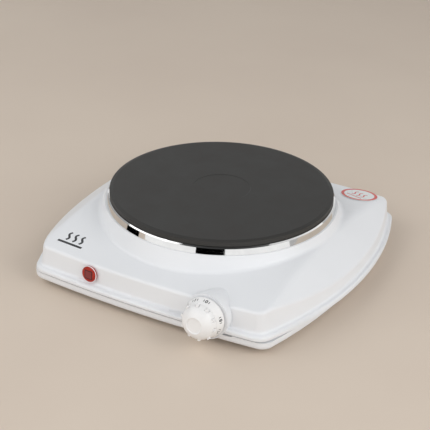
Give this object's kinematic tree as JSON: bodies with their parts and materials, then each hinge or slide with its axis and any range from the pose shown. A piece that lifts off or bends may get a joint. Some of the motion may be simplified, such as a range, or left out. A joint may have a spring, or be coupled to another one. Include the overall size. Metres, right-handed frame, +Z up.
{
  "type": "electric hot plate",
  "caption": "Table-top electric hot plate: round cast-iron burner in a chrome spill ring on a low white bowed housing with a turning control knob and a red pilot lamp.",
  "frame": {"origin": "middle of the object's bounding box, on the plane that the feet stand on", "axes": "+Z up, -Y the front with the knob and the pilot lamp, +X to the right as seen from the front"},
  "size_m": [0.265, 0.2698, 0.062],
  "materials": {
    "white_enamel": "smooth satin gloss white coating",
    "cast_iron_coated": "matte heat-resistant black-grey coating, faint turned texture",
    "bright_chrome": "polished",
    "white_knob": "moulded, satin gloss, warm white",
    "red_lens": "translucent red moulded lens",
    "black_holder": "matte black",
    "clear_bulb": "small clear glow lamp",
    "black_rubber": "matte",
    "zinc_steel": "zinc plated",
    "brass": "plain",
    "bare_aluminium": "bright rolled sheet",
    "coil_wire": "oxidised resistance wire",
    "oxide_insulation": "pressed powder, matte",
    "steatite": "unglazed ceramic",
    "phenolic": "dark brown moulding",
    "terminal_plastic": "plain moulding",
    "brown_lead": "heat-resistant sleeve",
    "blue_lead": "heat-resistant sleeve",
    "green_yellow_lead": "heat-resistant sleeve",
    "black_lead": "heat-resistant sleeve",
    "label_film": "white printed film with a plain red ring",
    "plate_foil": "blank satin foil"
  },
  "bodies": {
    "housing": {"upper_housing": "white_enamel", "base_pan": "white_enamel", "foot_front_left": "black_rubber", "foot_front_right": "black_rubber", "foot_back_left": "black_rubber", "foot_back_right": "black_rubber", "base_screws": "zinc_steel", "rating_plate": "plate_foil", "hot_plate": "cast_iron_coated", "spill_ring": "bright_chrome", "plate_insulation": "oxide_insulation", "heating_coils": "coil_wire", "plate_cover": "bare_aluminium", "centre_stud": "zinc_steel", "clamp_bridge": "zinc_steel", "clamp_washer": "zinc_steel", "clamp_nut": "zinc_steel", "terminal_block": "steatite", "terminal_posts": "brass", "thermal_fuse": "zinc_steel", "fuse_clip": "zinc_steel", "heat_shield": "bare_aluminium", "thermostat_bracket": "zinc_steel", "thermostat_body": "steatite", "thermostat_neck": "brass", "neck_nut": "brass", "leaf_pin": "zinc_steel", "pilot_lens": "red_lens", "lamp_holder": "black_holder", "neon_bulb": "clear_bulb", "cord_gland": "black_rubber", "supply_terminal": "terminal_plastic", "supply_screws": "brass", "earth_screw": "brass", "live_lead": "brown_lead", "neutral_lead": "blue_lead", "switched_lead": "brown_lead", "earth_lead": "green_yellow_lead", "lamp_lead": "black_lead", "hot_surface_label": "label_film"},
    "knob": {"control_knob": "white_knob", "thermostat_spindle": "zinc_steel", "thermostat_cam": "phenolic"},
    "leaf": {"contact_leaf": "brass"}
  },
  "joints": [
    {"name": "knob_turn", "type": "hinge", "parent": "housing", "child": "knob", "pos_m": [0.058, -0.11534, 0.025], "axis": [0, 0.9945, -0.1045], "range_deg": [0, 292]},
    {"name": "leaf_swing", "type": "hinge", "parent": "housing", "child": "leaf", "pos_m": [0.0494, -0.09945, 0.0183], "axis": [0, 0.9945, -0.1045], "range_deg": [0, 12.41]}
  ],
  "couplings": [
    {"joint": "leaf_swing", "follows": "knob_turn", "ratio": 0.0425}
  ]
}
